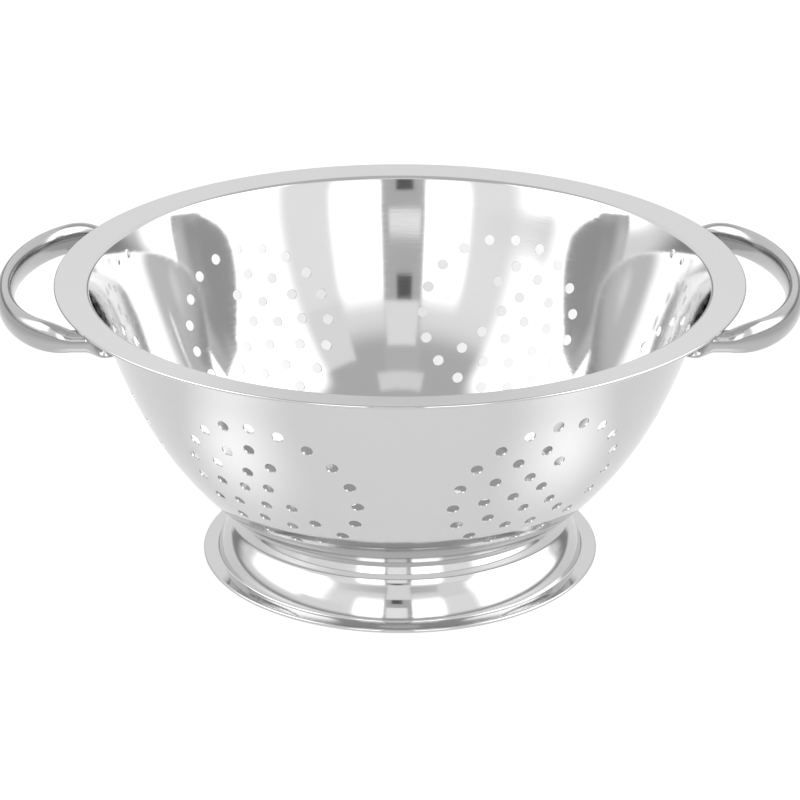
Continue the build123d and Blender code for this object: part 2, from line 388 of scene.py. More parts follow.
def rosette(first_angles, skipped, raised):
    """Places of the holes of one group, across and up, with its middle at zero."""
    places = [(0.0, raised.get((0, 0), 0.0))]
    for ring, first_angle in enumerate(first_angles, start=1):
        count = 6 * ring
        for k in range(count):
            if (ring, k) in skipped:
                continue
            angle = math.radians(first_angle + 360 * k / count)
            across = ring * RING_PITCH * math.cos(angle)
            up = ring * RING_PITCH * math.sin(angle) + raised.get((ring, k), 0.0)
            places.append((across, up))
    return places


def side_holes():
    """Each wall hole as its middle and three directions: across, up and outward."""
    height = BOWL_BASE + GROUP_RISE
    share = GROUP_RISE / BOWL_DEPTH
    run, rise = wall_direction(share)
    places = rosette(SIDE_RING_ANGLES, LEFT_OUT_HOLES, RAISED_HOLES)
    holes = []
    for degrees in GROUP_AZIMUTHS:
        azimuth = math.radians(degrees)
        outward = np.array([rise * math.cos(azimuth), rise * math.sin(azimuth), -run])
        across = np.array([-math.sin(azimuth), math.cos(azimuth), 0])
        upward = np.cross(outward, across)
        radius = wall_radius(share)
        middle = np.array([radius * math.cos(azimuth), radius * math.sin(azimuth), height])
        for right, up in places:
            spot = middle + right * across + up * UPRIGHT_SHARE * upward
            holes.append((spot, across, upward, outward))
    return holes


def base_holes():
    across, upward, outward = np.array([1, 0, 0]), np.array([0, -1, 0]), np.array([0, 0, -1])
    return [
        (np.array([x, y, BOWL_BASE]), across, upward, outward)
        for x, y in rosette(BASE_RING_ANGLES, (), {})
    ]


TABLE_SHARES = np.linspace(WALL_START, 1.0, TABLE_SAMPLES)


def skin_table(depth):
    """Radius, height and length along the wall of one skin, finely sampled."""
    radial, height = wall_point(TABLE_SHARES, depth)
    steps = np.hypot(np.diff(radial), np.diff(height))
    return radial, height, np.concatenate([[0], np.cumsum(steps)])


def onto_wall(points, direction, depth):
    """Slides points along a direction until they lie on one skin of the wall."""
    radial, height, _ = skin_table(depth)
    low = np.full(len(points), -SLIDE_REACH)
    high = np.full(len(points), SLIDE_REACH)
    for _ in range(SLIDE_STEPS):
        middle = (low + high) / 2
        moved = points + middle[:, None] * direction
        inside = np.hypot(moved[:, 0], moved[:, 1]) < np.interp(moved[:, 2], height, radial)
        low = np.where(inside, middle, low)
        high = np.where(inside, high, middle)
    return points + low[:, None] * direction


def wall_normals(points, depth, side):
    """Unit normals of one skin of the wall at points on it."""
    _, height, _ = skin_table(depth)
    share = np.interp(points[:, 2], height, TABLE_SHARES)
    run, rise = wall_direction(share)
    radial = np.hypot(points[:, 0], points[:, 1])
    across = points[:, :2] / radial[:, None]
    return np.concatenate([side * rise[:, None] * across, -side * run[:, None]], axis=1)


def hole_ring(hole, radius):
    """Points of a circle round a hole's axis, with their directions from the axis."""
    middle, across, upward, _ = hole
    angles = 2 * math.pi * np.arange(HOLE_SIDES) / HOLE_SIDES
    away = np.cos(angles)[:, None] * across + np.sin(angles)[:, None] * upward
    return middle + radius * away, away


def unrolled(points, depth):
    """Flat coordinates of points on the wall: round it, and along its section."""
    _, height, length = skin_table(depth)
    azimuth = np.arctan2(points[:, 1], points[:, 0]) - math.radians(SEAM_AZIMUTH)
    return np.stack([
        UNROLL_RADIUS * np.mod(azimuth, 2 * math.pi),
        np.interp(points[:, 2], height, length),
    ], axis=1)


def near_axis(points, hole, distance):
    """Which points lie nearer to a hole's axis than a distance, on the hole's own side."""
    middle, _, _, outward = hole
    offset = points - middle
    along = offset @ outward
    square = np.einsum("ij,ij->i", offset, offset) - along**2
    return (square < distance**2) & (np.abs(along) < HOLE_REACH)


def triangles_round(flat, loops):
    """Triangles of a flat set of points, left out inside the loops of point numbers."""
    edges = [(int(a), int(b)) for loop in loops for a, b in zip(loop, np.roll(loop, -1))]
    made = delaunay_2d_cdt([tuple(map(float, p)) for p in flat], edges, [], 0, 1e-7)
    faces, originals = made[2], made[3]
    number = [ids[0] if ids else -1 for ids in originals]
    loop_of = np.full(len(flat), -1)
    for k, loop in enumerate(loops):
        loop_of[loop] = k
    kept = []
    for face in faces:
        ids = [number[v] for v in face]
        if min(ids) < 0:
            raise ValueError("the triangles cross a hole's edge")
        owners = {int(loop_of[v]) for v in ids}
        if len(owners) == 1 and -1 not in owners:
            continue
        kept.append(ids)
    return kept


def add_triangles(sheet, triangles, numbers, side):
    for a, b, c in triangles:
        a, b, c = numbers[a], numbers[b], numbers[c]
        if len({a, b, c}) == 3:
            sheet.faces.append((a, b, c) if side > 0 else (a, c, b))


def dent_points(plane):
    """Points and normals of one shallow round dent in the bowl's inner skin."""
    spot, across, upward, outward = plane
    points, normals = [], []
    for k in range(DENT_RINGS + 1):
        share = k / DENT_RINGS
        sides = DENT_SIDES if k else 1
        angles = 2 * math.pi * np.arange(sides) / sides
        away = np.cos(angles)[:, None] * across + np.sin(angles)[:, None] * upward
        ring = onto_wall(spot + share * DENT_RADIUS * away, outward, SHEET)
        hollow = DENT_DEPTH * (1 - share**2) ** 2
        slope = -4 * DENT_DEPTH * share * (1 - share**2) / DENT_RADIUS
        points.append(ring + hollow * outward)
        normals.append(wall_normals(ring, SHEET, -1) + slope * away)
    return np.concatenate(points), np.concatenate(normals)


def add_wall_patch(sheet, rows, depth, side, first, last, holes, edge, dents=()):
    """Fills the holed stretch of wall between two rings; returns each hole's ring."""
    azimuths = turn_azimuths()
    points, normals = zip(*[turned(row, azimuths) for row in rows[1:-1]])
    points = np.concatenate(points)
    normals = np.concatenate(normals)
    clear = np.ones(len(points), bool)
    for hole in holes:
        clear &= ~near_axis(points, hole, HOLE_RADIUS + edge + HOLE_MARGIN)
    for dent in dents:
        clear &= ~near_axis(points, dent, DENT_RADIUS + HOLE_MARGIN)
    middle = np.full(len(points), -1)
    middle[clear] = sheet.add(points[clear], normals[clear])
    _, height, length = skin_table(depth)
    level = np.interp(rows[:, 1], height, length)
    columns = UNROLL_RADIUS * 2 * math.pi * np.arange(TURN_COLUMNS + 1) / TURN_COLUMNS
    grid = np.concatenate([first, middle, last]).reshape(len(rows), TURN_COLUMNS)
    grid = np.concatenate([grid, grid[:, :1]], axis=1)
    flat = np.stack(np.meshgrid(columns, level), axis=-1)
    used = grid >= 0
    flat, numbers = flat[used], grid[used]
    for dent in dents:
        spots, spot_normals = dent_points(dent)
        numbers = np.concatenate([numbers, sheet.add(spots, spot_normals)])
        flat = np.concatenate([flat, unrolled(spots, depth)])
    rings, loops = [], []
    for hole in holes:
        ring, _ = hole_ring(hole, HOLE_RADIUS + edge)
        ring = onto_wall(ring, hole[3], depth)
        rings.append(sheet.add(ring, wall_normals(ring, depth, side)))
        loops.append(np.arange(HOLE_SIDES) + len(flat))
        flat = np.concatenate([flat, unrolled(ring, depth)])
        numbers = np.concatenate([numbers, rings[-1]])
    add_triangles(sheet, triangles_round(flat, loops), numbers, side)
    return rings


def add_base_patch(sheet, height, side, first, holes, edge):
    """Fills the flat middle of the base inside a ring; returns each hole's ring."""
    normal = np.array([0, 0, -side])
    azimuths = turn_azimuths()
    border = BASE_PATCH_RADIUS * np.stack([np.cos(azimuths), np.sin(azimuths)], axis=1)
    steps = np.arange(-BASE_PATCH_RADIUS, BASE_PATCH_RADIUS, BASE_PATCH_STEP)
    flat = np.stack(np.meshgrid(steps, steps), axis=-1).reshape(-1, 2)
    flat = flat[np.hypot(*flat.T) < BASE_PATCH_RADIUS - BASE_PATCH_STEP / 2]
    for hole in holes:
        gap = np.hypot(*(flat - hole[0][:2]).T)
        flat = flat[gap > HOLE_RADIUS + edge + HOLE_MARGIN]
    points = np.column_stack([flat, np.full(len(flat), height)])
    numbers = np.concatenate([first, sheet.add(points, points * 0 + normal)])
    flat = np.concatenate([border, flat])
    rings, loops = [], []
    for hole in holes:
        ring, _ = hole_ring(hole, HOLE_RADIUS + edge)
        ring[:, 2] = height
        rings.append(sheet.add(ring, ring * 0 + normal))
        loops.append(np.arange(HOLE_SIDES) + len(flat))
        flat = np.concatenate([flat, ring[:, :2]])
        numbers = np.concatenate([numbers, rings[-1]])
    add_triangles(sheet, triangles_round(flat, loops), numbers, -side)
    return rings


def add_hole_walls(sheet, holes, outer_rings, inner_rings, land):
    """Joins the two skins through each hole, with a rolled outer edge."""
    for hole, outer, inner in zip(holes, outer_rings, inner_rings):
        rings = [outer]
        for out, deep, turn in ROLL_STEPS:
            ring, away = hole_ring(hole, HOLE_RADIUS + out)
            ring, skin_normal = land(ring, hole, 0)
            normal = (1 - turn) * skin_normal - turn * away
            rings.append(sheet.add(ring - deep * hole[3], normal))
        ring, away = hole_ring(hole, HOLE_RADIUS)
        ring, _ = land(ring, hole, SHEET)
        rings.append(sheet.add(ring + INNER_EDGE * hole[3], -away))
        rings.append(inner)
        for here, there in zip(rings, rings[1:]):
            sheet.strip(here, there)


def land_on_wall(ring, hole, depth):
    ring = onto_wall(ring, hole[3], depth)
    return ring, wall_normals(ring, depth, 1)


def land_on_base(ring, hole, depth):
    ring = ring.copy()
    ring[:, 2] = BOWL_BASE + depth
    return ring, ring * 0 + hole[3]


def round_wall(azimuth, radial, height):
    return np.array([radial * math.cos(azimuth), radial * math.sin(azimuth), height])


PAD_LEVEL = RIM_HEIGHT - PAD_DROP
PAD_SHARE = (PAD_LEVEL - BOWL_BASE) / BOWL_DEPTH
PAD_RADIUS = wall_radius(PAD_SHARE) + (WELD_GAP + TUBE_WALL) / wall_direction(PAD_SHARE)[1]
PAD_LEAN = math.atan2(*wall_direction(PAD_SHARE))
BEND_MIDDLE_RADIUS = PAD_RADIUS + PAD_BEND_RADIUS
BEND_AZIMUTH = math.asin((HANDLE_HALF_SPREAD - PAD_BEND_RADIUS) / BEND_MIDDLE_RADIUS)


def weld_planes():
    """Each handle weld on the wall: its middle, and the directions across, up and out."""
    run, rise = wall_direction(PAD_SHARE)
    planes = []
    for axis_azimuth in (0, math.pi):
        for side in (-1, 1):
            for distance in WELD_DISTANCES:
                azimuth = axis_azimuth + side * (BEND_AZIMUTH - distance / PAD_RADIUS)
                spot = round_wall(azimuth, wall_radius(PAD_SHARE), PAD_LEVEL)
                outward = round_wall(azimuth, rise, -run)
                across = round_wall(azimuth + math.pi / 2, 1, 0)
                planes.append((spot, across, np.cross(outward, across), outward))
    return planes


def make_bowl():
    sheet = Sheet()
    side, base = side_holes(), base_holes()
    below, inside, above = skin_rows(0, 1)
    low = add_turned(sheet, below)
    high = add_turned(sheet, above)
    outer_side = add_wall_patch(
        sheet, inside, 0, 1, low[-1], high[0], side, OUTER_EDGE
    )
    outer_base = add_base_patch(sheet, BOWL_BASE, 1, low[0], base, OUTER_EDGE)
    hem = add_turned(sheet, hem_rows(), high[-1])
    below, inside, above = skin_rows(SHEET, -1)
    high = add_turned(sheet, above[::-1], hem[-1])
    low = add_turned(sheet, below[::-1])
    inner_side = add_wall_patch(
        sheet, inside, SHEET, -1, low[0], high[-1], side, INNER_EDGE, weld_planes()
    )
    inner_base = add_base_patch(
        sheet, BOWL_BASE + SHEET, -1, low[-1], base, INNER_EDGE
    )
    add_hole_walls(sheet, side, outer_side, inner_side, land_on_wall)
    add_hole_walls(sheet, base, outer_base, inner_base, land_on_base)
    return sheet.object("bowl_shell")


# Foot

def mitred(corners, depth):
    """Corners of a path moved sideways by a depth, to the right of its run."""
    corners = np.array(corners)
    runs = np.diff(corners, axis=0)
    runs /= np.linalg.norm(runs, axis=1, keepdims=True)
    before = np.concatenate([runs[:1], runs])
    after = np.concatenate([runs, runs[-1:]])
    normal = np.stack([before[:, 1] + after[:, 1], -before[:, 0] - after[:, 0]], axis=1)
    size = np.sum(normal**2, axis=1, keepdims=True) / 2
    return corners + depth * normal / size


def bent_rows(corners, radii, depth, side):
    """Section rows of a path with rounded corners, moved right by a depth."""
    moved = mitred(corners, depth)
    stops = [moved[0]]
    arcs = []
    for k, radius in enumerate(radii, start=1):
        behind = moved[k] - moved[k - 1]
        ahead = moved[k + 1] - moved[k]
        behind /= np.linalg.norm(behind)
        ahead /= np.linalg.norm(ahead)
        turn = math.atan2(behind[0] * ahead[1] - behind[1] * ahead[0], behind @ ahead)
        left = 1 if turn > 0 else -1
        bend = radius + left * depth
        reach = bend * math.tan(abs(turn) / 2)
        start = moved[k] - reach * behind
        centre = start + left * bend * np.array([-behind[1], behind[0]])
        first = math.degrees(math.atan2(*(start - centre)[::-1]))
        count = max(
            4, int(abs(math.degrees(turn)) / ARC_TURN) + 2, int(bend * abs(turn) / ARC_STEP)
        )
        arcs.append(arc_rows(
            centre, bend, first, first + math.degrees(turn), count, -left * side
        ))
        stops.append(arcs[-1][0, :2])
        stops.append(arcs[-1][-1, :2])
    stops.append(moved[-1])
    rows = []
    for k, (start, end) in enumerate(zip(stops[::2], stops[1::2])):
        run = (end - start) / np.linalg.norm(end - start)
        rows.append(line_rows(start, end, 2, (-side * run[1], side * run[0])))
        if k < len(arcs):
            rows.append(arcs[k][1:-1])
    return np.concatenate(rows)


def foot_corners():
    """Corners of the foot's outer skin, from the weld flange down to the hem's end."""
    return [
        (NECK_TOP_RADIUS - WELD_FLANGE_WIDTH + FOLD_BEVEL, FOOT_HEIGHT),
        (NECK_TOP_RADIUS, FOOT_HEIGHT),
        (NECK_RADIUS - NECK_LEAN * BEAD_LEAN_SHARE, SKIRT_HEIGHT + NECK_HEIGHT * BEAD_SHARE),
        (NECK_RADIUS, SKIRT_HEIGHT),
        (NECK_RADIUS + SHOULDER_REACH, SKIRT_HEIGHT - SHOULDER_DROP),
        (FOOT_RADIUS - FOOT_FLANGE_WIDTH, FOOT_HEM_HEIGHT),
        (FOOT_RADIUS, FOOT_HEM_HEIGHT),
        (FOOT_RADIUS, 0),
        (FOOT_RADIUS - FOOT_HEM_RETURN + FOLD_BEVEL, 0),
    ]


def make_foot():
    hem_bend = FOOT_HEM_BEND_SHARE * FOOT_HEM_HEIGHT
    radii = [
        NECK_TOP_BEND + FOOT_SHEET,
        BEAD_BEND,
        NECK_FOOT_BEND,
        SHOULDER_BEND,
        SKIRT_FOOT_BEND,
        hem_bend,
        hem_bend,
    ]
    corners = foot_corners()
    top_edge = corners[0][0] - FOLD_BEVEL
    hem_edge = corners[-1][0] - FOLD_BEVEL
    thin = FOOT_SHEET - FOLD_BEVEL
    rows = np.concatenate([
        line_rows((hem_edge, thin), (hem_edge, FOLD_BEVEL), 2, (-1, 0)),
        bent_rows(corners, radii, 0, 1)[::-1],
        line_rows(
            (top_edge, FOOT_HEIGHT - FOLD_BEVEL), (top_edge, FOOT_HEIGHT - thin), 2, (-1, 0)
        ),
        bent_rows(corners, radii, FOOT_SHEET, -1),
    ])
    sheet = Sheet()
    rings = add_turned(sheet, rows)
    sheet.strip(rings[-1], rings[0])
    return sheet.object("foot_skin")


# Handles

LEG_LEVEL = RIM_HEIGHT - RIM_HEM_HEIGHT - UNDER_RIM_GAP - LEG_HEIGHT / 2
HANDLE_LEVEL = RIM_HEIGHT - HANDLE_DROP
BOW_START = RIM_RADIUS - BOW_INSET
BOW_DEPTH = RIM_RADIUS + HANDLE_STAND_OFF - TUBE_THICKNESS / 2 - BOW_START


def smooth(value):
    """Eased step from 0 to 1."""
    clipped = np.clip(value, 0.0, 1.0)
    return clipped**2 * (3 - 2 * clipped)


def level_stations(x, y, heading, level, high, thick, lean, square):
    """Stations of the tube as rows: place, heading, height, thickness, lean, squareness."""
    zero = x * 0
    return np.stack([
        x, y, zero + level, np.cos(heading), np.sin(heading), zero,
        zero + high, zero + thick, zero + lean, zero + square,
    ], axis=1)


def half_handle():
    """Stations from the pad's free end, round its bend, along the leg and half the bow."""
    flat = 2 * TUBE_WALL
    end_azimuth = BEND_AZIMUTH - PAD_LENGTH / PAD_RADIUS
    azimuth = np.linspace(end_azimuth, BEND_AZIMUTH, PAD_STATIONS)
    pad = level_stations(
        PAD_RADIUS * np.cos(azimuth), PAD_RADIUS * np.sin(azimuth), azimuth + math.pi / 2,
        PAD_LEVEL, PAD_HEIGHT, flat, PAD_LEAN, PAD_SQUARENESS,
    )
    middle = round_wall(BEND_AZIMUTH, BEND_MIDDLE_RADIUS, 0)
    turn = np.linspace(BEND_AZIMUTH + math.pi / 2, 0, BEND_STATIONS)[1:]
    bend = level_stations(
        middle[0] - PAD_BEND_RADIUS * np.sin(turn), middle[1] + PAD_BEND_RADIUS * np.cos(turn),
        turn, PAD_LEVEL, PAD_HEIGHT, flat, PAD_LEAN, PAD_SQUARENESS,
    )
    share = np.linspace(0, 1, LEG_STATIONS)[1:]
    opened = smooth(OPENING_PACE * share)
    leg = level_stations(
        middle[0] + (BOW_START - middle[0]) * share, share * 0 + HANDLE_HALF_SPREAD,
        share * 0, PAD_LEVEL + (LEG_LEVEL - PAD_LEVEL) * opened,
        PAD_HEIGHT + (LEG_HEIGHT - PAD_HEIGHT) * opened,
        flat + (TUBE_THICKNESS - flat) * opened, PAD_LEAN * (1 - opened),
        PAD_SQUARENESS + (OVAL_SQUARENESS - PAD_SQUARENESS) * opened**0.5,
    )
    angle = np.linspace(math.pi / 2, 0, BOW_STATIONS)[1:]
    out = BOW_DEPTH * np.cos(angle)
    risen = 1 - (1 - np.clip(out / RISE_LENGTH, 0, 1))**2
    heading = np.arctan2(-HANDLE_HALF_SPREAD * np.cos(angle), BOW_DEPTH * np.sin(angle))
    bow = level_stations(
        BOW_START + out, HANDLE_HALF_SPREAD * np.sin(angle), heading,
        LEG_LEVEL + (HANDLE_LEVEL - LEG_LEVEL) * risen,
        LEG_HEIGHT + (TUBE_HEIGHT - LEG_HEIGHT) * risen, TUBE_THICKNESS, 0, OVAL_SQUARENESS,
    )
    return np.concatenate([pad, bend, leg, bow])


def handle_stations():
    """Stations of the whole handle: one half, and the same mirrored."""
    half = half_handle()
    other = half[-2::-1].copy()
    other[:, 1] *= -1
    other[:, 3] *= -1
    return np.concatenate([half, other])


def handle_grid():
    """Points of the handle's skin, station by station."""
    angles = 2 * math.pi * np.arange(HANDLE_SIDES) / HANDLE_SIDES
    rings = []
    for row in handle_stations():
        place, heading = row[:3], row[3:6]
        high, thick, lean, square = row[6:]
        side = np.cross(heading, (0, 0, 1))
        thin = side * math.cos(lean) - np.array([0, 0, math.sin(lean)])
        tall = np.cross(heading, thin)
        across, up = np.cos(angles), np.sin(angles)
        across = np.sign(across) * np.abs(across) ** (2 / square)
        up = np.sign(up) * np.abs(up) ** (2 / square)
        offsets = across[:, None] * thin * thick / 2 + up[:, None] * tall * high / 2
        rings.append(place + offsets)
    return np.array(rings)


def make_handle(name, half_turns):
    """The handle's tube with closed ends, on the right, or on the left if turned."""
    grid = handle_grid()
    if half_turns:
        grid = grid * np.array([-1, -1, 1])
    along = np.gradient(grid, axis=0)
    around = np.roll(grid, -1, axis=1) - np.roll(grid, 1, axis=1)
    normals = np.cross(around, along)
    sheet = Sheet()
    rings = [sheet.add(points, skin) for points, skin in zip(grid, normals)]
    for here, there in zip(rings, rings[1:]):
        sheet.strip(here, there)
    for number, neighbour, edge in ((0, 1, rings[0]), (-1, -2, rings[-1][::-1])):
        ring = grid[number]
        middle = ring.mean(axis=0)
        away = middle - grid[neighbour].mean(axis=0)
        if number:
            ring = ring[::-1]
        small = sheet.add(middle + (ring - middle) * END_CAP_SHARE, ring * 0 + away)
        centre = sheet.add(middle, away)[0]
        sheet.strip(small, edge)
        for k in range(len(small)):
            sheet.faces.append((small[k], small[k - 1], centre))
    return sheet.object(name)


# Materials

class Nodes:
    """Short ways to add shader nodes to one node tree."""

    def __init__(self, tree):
        self.tree = tree
        tree.nodes.clear()

    def put(self, socket, value):
        if isinstance(value, bpy.types.NodeSocket):
            self.tree.links.new(value, socket)
        else:
            socket.default_value = value

    def add(self, kind, settings=None, **inputs):
        node = self.tree.nodes.new(kind)
        for name, value in (settings or {}).items():
            setattr(node, name, value)
        for name, value in inputs.items():
            self.put(node.inputs[name.replace("_", " ")], value)
        return node

    def math(self, operation, *values):
        node = self.tree.nodes.new("ShaderNodeMath")
        node.operation = operation
        for socket, value in zip(node.inputs, values):
            self.put(socket, value)
        return node.outputs[0]

    def joined(self, x, y, z):
        return self.add("ShaderNodeCombineXYZ", X=x, Y=y, Z=z).outputs[0]

    def noise(self, place, scale, detail=2.0, roughness=0.5):
        node = self.add(
            "ShaderNodeTexNoise", Vector=place, Scale=scale, Detail=detail, Roughness=roughness
        )
        return node.outputs["Fac"]

    def ranged(self, value, low, high, new_low, new_high, shape="LINEAR"):
        node = self.add("ShaderNodeMapRange", {"interpolation_type": shape})
        limits = (value, low, high, new_low, new_high)
        for socket, limit in zip(node.inputs, limits):
            self.put(socket, limit)
        return node.outputs[0]

    def length(self, vector):
        node = self.add("ShaderNodeVectorMath", {"operation": "LENGTH"})
        self.put(node.inputs[0], vector)
        return node.outputs["Value"]

    def mixed(self, share, first, second):
        """A number between two others."""
        node = self.add("ShaderNodeMix", {"data_type": "FLOAT"})
        for socket, value in ((0, share), (2, first), (3, second)):
            self.put(node.inputs[socket], value)
        return node.outputs[0]

    def mixed_shader(self, share, first, second):
        node = self.add("ShaderNodeMixShader")
        for socket, value in zip(node.inputs, (share, first, second)):
            self.put(socket, value)
        return node.outputs[0]

    def end(self, kind, shader):
        """Adds the tree's output and gives it the shader."""
        self.put(self.add(kind).inputs["Surface"], shader)


def new_material(name):
    """A material with an empty node tree."""
    material = bpy.data.materials.new(name)
    material.use_nodes = True
    return material, Nodes(material.node_tree)


def turned_place(nodes, per_turn, per_metre):
    """Coordinates that run slowly round the axis and fast up the section."""
    place = nodes.add("ShaderNodeTexCoord").outputs["Object"]
    parts = nodes.add("ShaderNodeSeparateXYZ", Vector=place).outputs
    radius = nodes.math("SQRT", nodes.math("ADD",
        nodes.math("MULTIPLY", parts[0], parts[0]),
        nodes.math("MULTIPLY", parts[1], parts[1])))
    radius = nodes.math("MAXIMUM", radius, METRES_PER_MM)
    east = nodes.math("MULTIPLY", nodes.math("DIVIDE", parts[0], radius), per_turn)
    north = nodes.math("MULTIPLY", nodes.math("DIVIDE", parts[1], radius), per_turn)
    length = nodes.math("ADD", parts[2], radius)
    return nodes.joined(east, north, nodes.math("MULTIPLY", length, per_metre))


# Grain of the steel: repeats per turn and per metre up the section, and of the waves per metre
STREAK_GRAIN = (9.0, 900.0)
FINE_GRAIN = (30.0, 4200.0)
WAVE_GRAIN = 55.0

# What the grain changes: the fine rings' height as a share of the streaks', and the lowest
# and highest share of the roughness and of the colour
FINE_HEIGHT_SHARE = 0.16
ROUGHNESS_SHARES = (0.75, 1.3)
TONE_SHARES = (0.985, 1.015)


def steel(name, colour, roughness, streak_height, wave_height):
    """Polished steel with fine rings from the polishing wheel and faint waves."""
    material, nodes = new_material(name)
    streaks = nodes.noise(turned_place(nodes, *STREAK_GRAIN), 1.0, 3.0, 0.6)
    fine = nodes.noise(turned_place(nodes, *FINE_GRAIN), 1.0, 2.0, 0.5)
    place = nodes.add("ShaderNodeTexCoord").outputs["Object"]
    waves = nodes.noise(place, WAVE_GRAIN, 1.0, 0.4)
    height = nodes.math("ADD",
        nodes.math("MULTIPLY", streaks, streak_height),
        nodes.math("MULTIPLY", waves, wave_height))
    fine_height = nodes.math("MULTIPLY", fine, streak_height * FINE_HEIGHT_SHARE)
    height = nodes.math("ADD", height, fine_height)
    bump = nodes.add(
        "ShaderNodeBump", Strength=1.0, Distance=METRES_PER_MM, Height=height
    ).outputs[0]
    smoothest, roughest = (roughness * share for share in ROUGHNESS_SHARES)
    rough = nodes.ranged(streaks, 0.3, 0.7, smoothest, roughest)
    shader = nodes.add(
        "ShaderNodeBsdfPrincipled", Metallic=1.0, Roughness=rough, Normal=bump
    )
    darkest, lightest = (colour * share for share in TONE_SHARES)
    tone = nodes.ranged(fine, 0.25, 0.75, darkest, lightest)
    shade = nodes.add("ShaderNodeCombineColor", Red=tone, Green=tone, Blue=tone)
    nodes.put(shader.inputs["Base Color"], shade.outputs[0])
    nodes.end("ShaderNodeOutputMaterial", shader.outputs[0])
    return material


def dress(thing, material):
    thing.data.materials.clear()
    thing.data.materials.append(material)


# Surroundings

# Soft panels of the studio, from the camera's side round. Azimuth and elevation are each
# given as middle, half width and edge softness, all in degrees, and then comes the level.
PANELS = (
    ((0, HALF_TURN, 1), (80, 30, 4), 0.66),
    ((180, 60, 12), (-4, 13, 4), 0.30),
    ((0, 56, 7), (55, 13, 5), 0.60),
    ((-32, 21, 3), (12, 26, 12), 1.12),
    ((28, 19, 3), (12, 24, 10), 1.12),
    ((40, 12, 0.7), (40, 9.5, 0.8), 1.02),
    ((82, 31, 6), (28, 24, 4), 2.6),
    ((-80, 28, 8), (33, 21, 5), 2.6),
    ((-50, 16, 5), (9, 8, 3), 1.05),
    ((15.5, 12, 3), (12, 17.5, 7), 2.6),
    ((-17.5, 10.5, 3), (12, 17.5, 7), 2.6),
    ((-1.3, 9.0, 0.6), (24, 24, 2), 0.60),
    ((-1.5, 11.5, 1.5), (52, 6, 1), 0.645),
    ((-0.5, 17, 1), (58.5, 3, 0.6), 0.95),
    ((-1, 8.5, 0.4), (39.3, 7.2, 0.4), 1.06),
    ((-2, 3.5, 0.4), (28.7, 3.2, 0.4), 0.13),
    ((0, HALF_TURN, 1), (-4, 7, 3), 0.35),
    ((-2, 6.5, 0.4), (11, 8.4, 0.6), 1.2),
)
BASE_LEVEL = 1.0


def make_world():
    """White to the camera, and the soft panels to everything else."""
    world = bpy.data.worlds.new("studio")
    bpy.context.scene.world = world
    world.use_nodes = True
    nodes = Nodes(world.node_tree)
    place = nodes.add("ShaderNodeTexCoord").outputs["Generated"]
    x, y, z = nodes.add("ShaderNodeSeparateXYZ", Vector=place).outputs
    to_degrees = math.degrees(1)
    toward = nodes.math("MULTIPLY", y, -1.0)
    azimuth = nodes.math("MULTIPLY", nodes.math("ARCTAN2", x, toward), to_degrees)
    elevation = nodes.math("MULTIPLY", nodes.math("ARCSINE", z), to_degrees)

    def window(value, middle, half, soft, wraps):
        offset = nodes.math("SUBTRACT", value, middle)
        if wraps:
            offset = nodes.math("WRAP", offset, HALF_TURN, -HALF_TURN)
        distance = nodes.math("ABSOLUTE", offset)
        return nodes.ranged(distance, half - soft, half + soft, 1.0, 0.0, "SMOOTHSTEP")

    level = BASE_LEVEL
    for across, up, brightness in PANELS:
        inside = nodes.math("MULTIPLY",
            window(azimuth, *across, True) if across[1] < HALF_TURN else 1.0,
            window(elevation, *up, False))
        level = nodes.mixed(inside, level, brightness)
    surroundings = nodes.add("ShaderNodeBackground", Strength=level)
    seen = nodes.add("ShaderNodeBackground", Strength=1.0)
    for node in (surroundings, seen):
        node.inputs["Color"].default_value = (1, 1, 1, 1)
    camera_ray = nodes.add("ShaderNodeLightPath").outputs["Is Camera Ray"]
    both = nodes.mixed_shader(camera_ray, surroundings.outputs[0], seen.outputs[0])
    nodes.end("ShaderNodeOutputWorld", both)


# Floor: its radius in metres, how much light it scatters, and how bright it is besides, to the
# camera and in reflections
FLOOR_RADIUS = 6.0
FLOOR_SIDES = 64
FLOOR_COLOUR = 0.25
FLOOR_SEEN = 0.80
FLOOR_REFLECTED = 0.67

# Where the floor's reflected level begins and ends to fall, in metres, and to which share
FLOOR_FAR = (0.26, 0.60, 0.6)

# Painted pools of light on the floor on both sides, for the light that the bowl throws there,
# which only reflections show
GLOW_PLACES = ((0.130, -0.085), (-0.130, -0.085))
GLOW_RADIUS = 0.078
GLOW_LEVEL = 0.5

# Painted soft shadow on the floor behind the bowl, which shows through its holes: each part's
# place and radius in metres, and how much dimmer its middle is
PAINTED_SHADES = ((0.0, 0.30, 0.17, 0.34), (0.0, 0.14, 0.11, 0.2))

# Grey boards low beside the object, which only reflections show: distance from the middle,
# near and far end, low and high edge, all in metres, then a point on the ragged near edge,
# its slope, softness and raggedness, and the darkest and lightest level
BOARD_DISTANCE = 0.27
BOARD_SPAN = (-0.10, 0.13)
BOARD_HEIGHTS = (0.127, 0.225)
BOARD_EDGE = (-0.072, 0.146)
BOARD_EDGE_SLOPE = 1.7
BOARD_EDGE_SOFTNESS = 0.003
BOARD_RAGGEDNESS = 0.05
BOARD_LEVELS = (0.42, 0.74)

# Grain of the boards along and up: streaks that tear the near edge, and clouds of grey
BOARD_STREAKS = (4.0, 420.0)
BOARD_CLOUDS = (14.0, 9.0)

# Length of reflected rays, in metres, at which a board begins to show and shows fully. It
# shows in the side of the bowl across from it, and not in the foot or the handle beside it.
BOARD_SHOWN_FROM = (0.325, 0.34)


